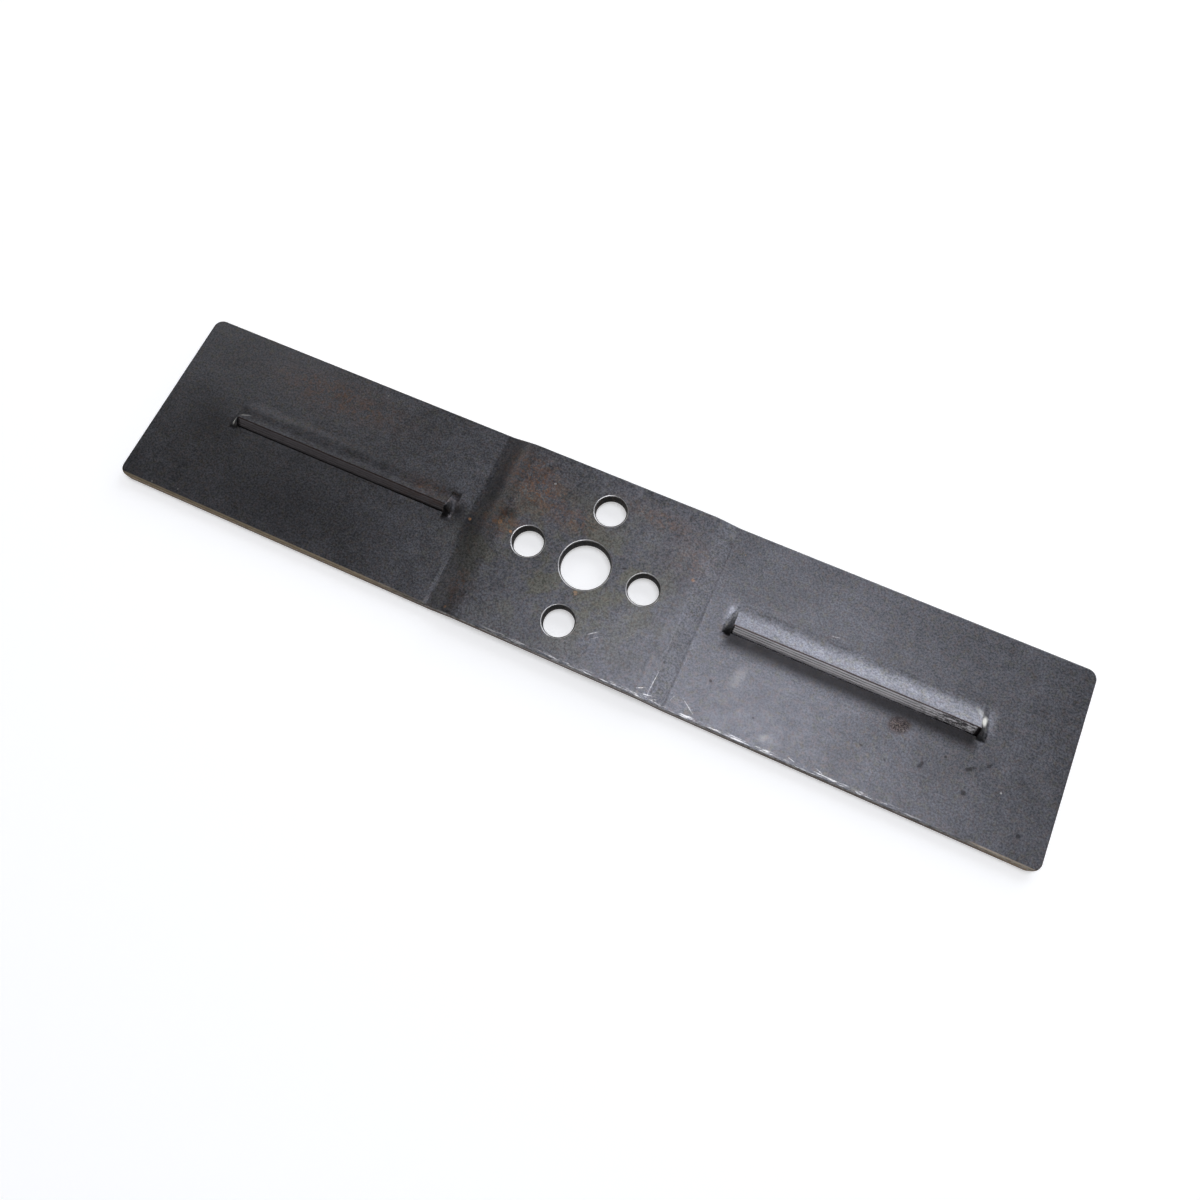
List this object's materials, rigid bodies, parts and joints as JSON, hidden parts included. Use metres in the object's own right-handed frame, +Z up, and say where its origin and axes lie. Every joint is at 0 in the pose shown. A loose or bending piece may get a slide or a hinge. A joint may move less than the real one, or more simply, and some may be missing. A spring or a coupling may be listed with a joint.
{
  "type": "edger blade",
  "caption": "Flat two-ended steel edger blade with a raised hub, a centre bore inside a circle of bolt holes and a pressed louver along each wing.",
  "frame": {"origin": "on the bore's axis, at the level of the flat surface that the wings lie on", "axes": "+X along the blade's length, +Y across it towards the louvers' raised side, +Z up through the bore, away from the resting surface"},
  "size_m": [0.2476, 0.0508, 0.0051],
  "materials": {
    "steel": "dark mill scale with a satin sheen, fine mottling, light scratches and brown stains; paler sheared edges"
  },
  "bodies": {
    "root": {"edger_blade": "steel"}
  },
  "joints": []
}
